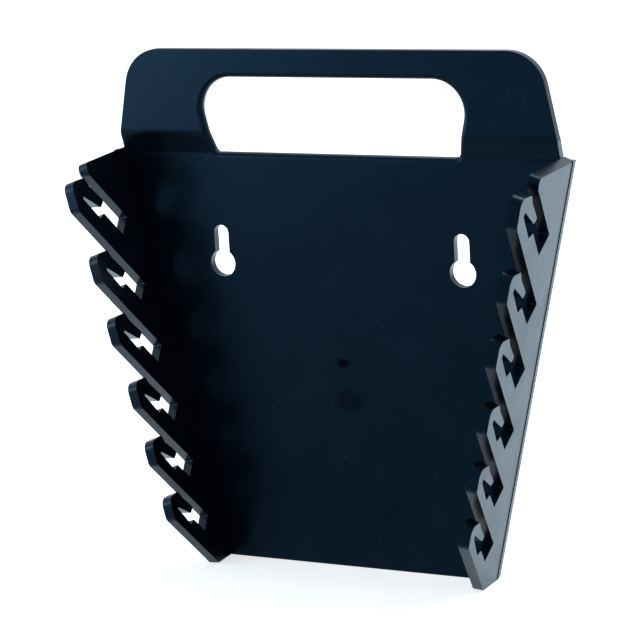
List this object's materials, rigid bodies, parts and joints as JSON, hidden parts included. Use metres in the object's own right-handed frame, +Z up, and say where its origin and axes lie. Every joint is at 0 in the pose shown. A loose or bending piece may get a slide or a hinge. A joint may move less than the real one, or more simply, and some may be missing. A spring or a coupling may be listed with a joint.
{
  "type": "wrench rack",
  "caption": "Tapered wall rack for wrenches: flat back plate with keyholes, bent hand hold on top, and side flanges cut into graded, slanted spring-hook slots.",
  "frame": {"origin": "on the wall face of the back plate, midway between the heads of the keyholes", "axes": "+Z up, +X to the right seen from the front, the front and the hooks face -Y, the wall is on the +Y side"},
  "size_m": [0.182, 0.0457, 0.193],
  "materials": {
    "plastic": "semi-gloss moulded surface, near black with a blue cast"
  },
  "bodies": {
    "root": {"rack": "plastic"}
  },
  "joints": []
}
